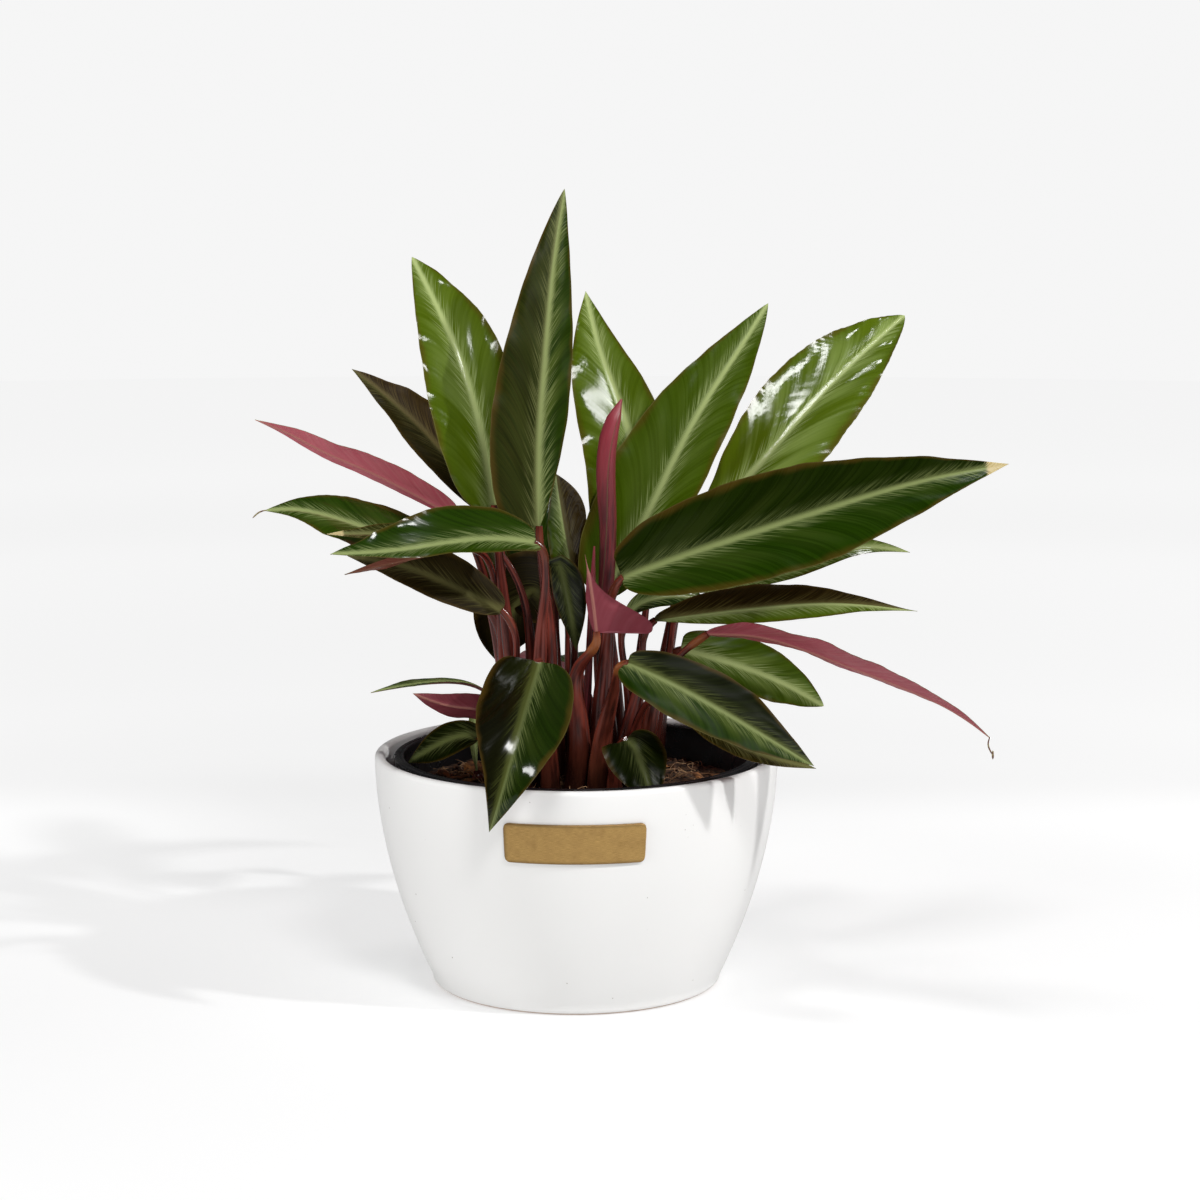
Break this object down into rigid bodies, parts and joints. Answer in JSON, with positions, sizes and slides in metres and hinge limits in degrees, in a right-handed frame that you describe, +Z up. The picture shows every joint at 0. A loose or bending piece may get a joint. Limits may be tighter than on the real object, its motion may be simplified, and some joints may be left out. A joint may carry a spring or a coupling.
{
  "type": "potted stromanthe",
  "caption": "Young stromanthe plant with long feathered leaves, burgundy below, in a nursery pot inside a white tapered planter with a bare brass plate.",
  "frame": {"origin": "on the floor under the middle of the planter's flat base", "axes": "+Z up; the brass plate and the front of the plant look along -Y; +X to the right seen from the front"},
  "size_m": [0.3213, 0.2263, 0.3502],
  "materials": {
    "planter_ceramic": "satin",
    "nursery_plastic": "satin",
    "potting_soil": "matte",
    "plate_brass": "satin",
    "leaf_blade": "gloss",
    "leaf_underside": "satin",
    "leaf_stalk": "satin",
    "rolled_leaf": "satin"
  },
  "bodies": {
    "root": {"planter": "planter_ceramic", "nursery_pot": "nursery_plastic", "soil": "potting_soil", "label_plate": "plate_brass", "leaf_tall": "leaf_blade", "stalk_tall": "leaf_stalk", "leaf_upper_left": "leaf_blade", "stalk_upper_left": "leaf_stalk", "leaf_back_left": "leaf_blade", "stalk_back_left": "leaf_stalk", "leaf_far_left": "leaf_underside", "stalk_far_left": "leaf_stalk", "leaf_mid_left": "leaf_blade", "stalk_mid_left": "leaf_stalk", "leaf_yellow_tipped": "leaf_blade", "leaf_front_left": "leaf_blade", "stalk_front_left": "leaf_stalk", "leaf_brown_left": "leaf_underside", "leaf_dark_left": "leaf_blade", "stalk_dark_left": "leaf_stalk", "leaf_front_drooping": "leaf_blade", "stalk_front_drooping": "leaf_stalk", "leaf_centre_folded": "leaf_underside", "stalk_centre_folded": "leaf_stalk", "leaf_right_drooping": "leaf_blade", "stalk_right_drooping": "leaf_stalk", "leaf_under_right": "leaf_blade", "leaf_pale_right": "leaf_blade", "stalk_pale_right": "leaf_stalk", "leaf_far_right": "leaf_underside", "stalk_far_right": "leaf_stalk", "leaf_dark_right": "leaf_blade", "stalk_dark_right": "leaf_stalk", "leaf_big_right": "leaf_blade", "stalk_big_right": "leaf_stalk", "leaf_narrow_right": "leaf_blade", "stalk_narrow_right": "leaf_stalk", "leaf_back_right": "leaf_blade", "stalk_back_right": "leaf_stalk", "leaf_upper_right": "leaf_blade", "stalk_upper_right": "leaf_stalk", "leaf_upper_back": "leaf_blade", "stalk_upper_back": "leaf_stalk", "leaf_behind_tall": "leaf_blade", "leaf_under_big": "leaf_blade", "leaf_hanging": "leaf_blade", "leaf_low_dark": "leaf_blade", "leaf_low_thin": "leaf_blade", "leaf_low_burgundy": "leaf_underside", "leaf_small_strip": "leaf_blade", "leaf_in_pot_left": "leaf_blade", "leaf_in_pot_right": "leaf_blade", "leaf_rear_left": "leaf_blade", "leaf_rear_middle": "leaf_blade", "leaf_rear_right": "leaf_blade", "leaf_rear_upright": "leaf_blade", "leaf_rear_drooping": "leaf_blade", "leaf_rear_low": "leaf_blade", "tall_spear": "rolled_leaf", "small_spear": "rolled_leaf"}
  },
  "joints": []
}
